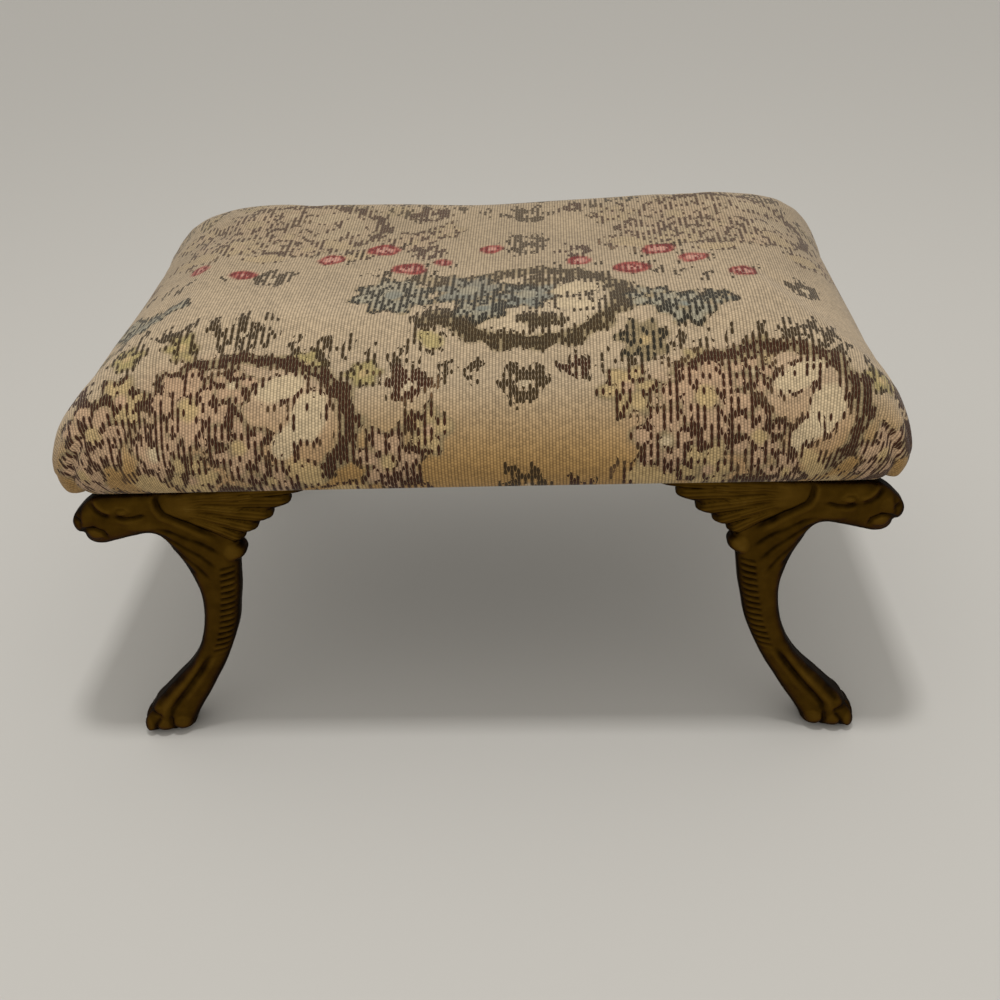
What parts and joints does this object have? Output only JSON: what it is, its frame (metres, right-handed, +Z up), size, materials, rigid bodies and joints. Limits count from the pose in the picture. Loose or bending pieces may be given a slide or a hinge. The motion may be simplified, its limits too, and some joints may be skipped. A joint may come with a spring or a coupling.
{
  "type": "footstool",
  "caption": "Low rectangular footstool: floral tapestry pad on a softwood board, carried by cast legs shaped as winged beasts with paws.",
  "frame": {"origin": "on the floor, under the middle of the pad", "axes": "+X along the long side, +Y to the back, +Z up"},
  "size_m": [0.3406, 0.2354, 0.1862],
  "materials": {
    "tapestry": "ribbed woven tapestry, worn",
    "cotton_wadding": "soft cotton",
    "calico": "plain weave",
    "fibre_filling": "loose fibre",
    "dust_cloth": "thin plain weave",
    "pine": "sawn, bare",
    "tack_steel": "blued",
    "screw_steel": "dull, aged",
    "cast_bronze_finish": "dark antique bronze, worn bright on the high spots"
  },
  "bodies": {
    "root": {"seat_board": "pine", "stuffing": "fibre_filling", "wadding": "cotton_wadding", "undercover": "calico", "tapestry_cover": "tapestry", "dust_cover": "dust_cloth", "cover_tacks_front": "tack_steel", "cover_tacks_rear": "tack_steel", "cover_tacks_left": "tack_steel", "cover_tacks_right": "tack_steel", "dust_cover_tacks_front": "tack_steel", "dust_cover_tacks_rear": "tack_steel", "dust_cover_tacks_left": "tack_steel", "dust_cover_tacks_right": "tack_steel", "leg_screws_front_left": "screw_steel", "leg_screws_front_right": "screw_steel", "leg_screws_rear_left": "screw_steel", "leg_screws_rear_right": "screw_steel", "leg_front_left": "cast_bronze_finish", "leg_front_right": "cast_bronze_finish", "leg_rear_left": "cast_bronze_finish", "leg_rear_right": "cast_bronze_finish"}
  },
  "joints": []
}
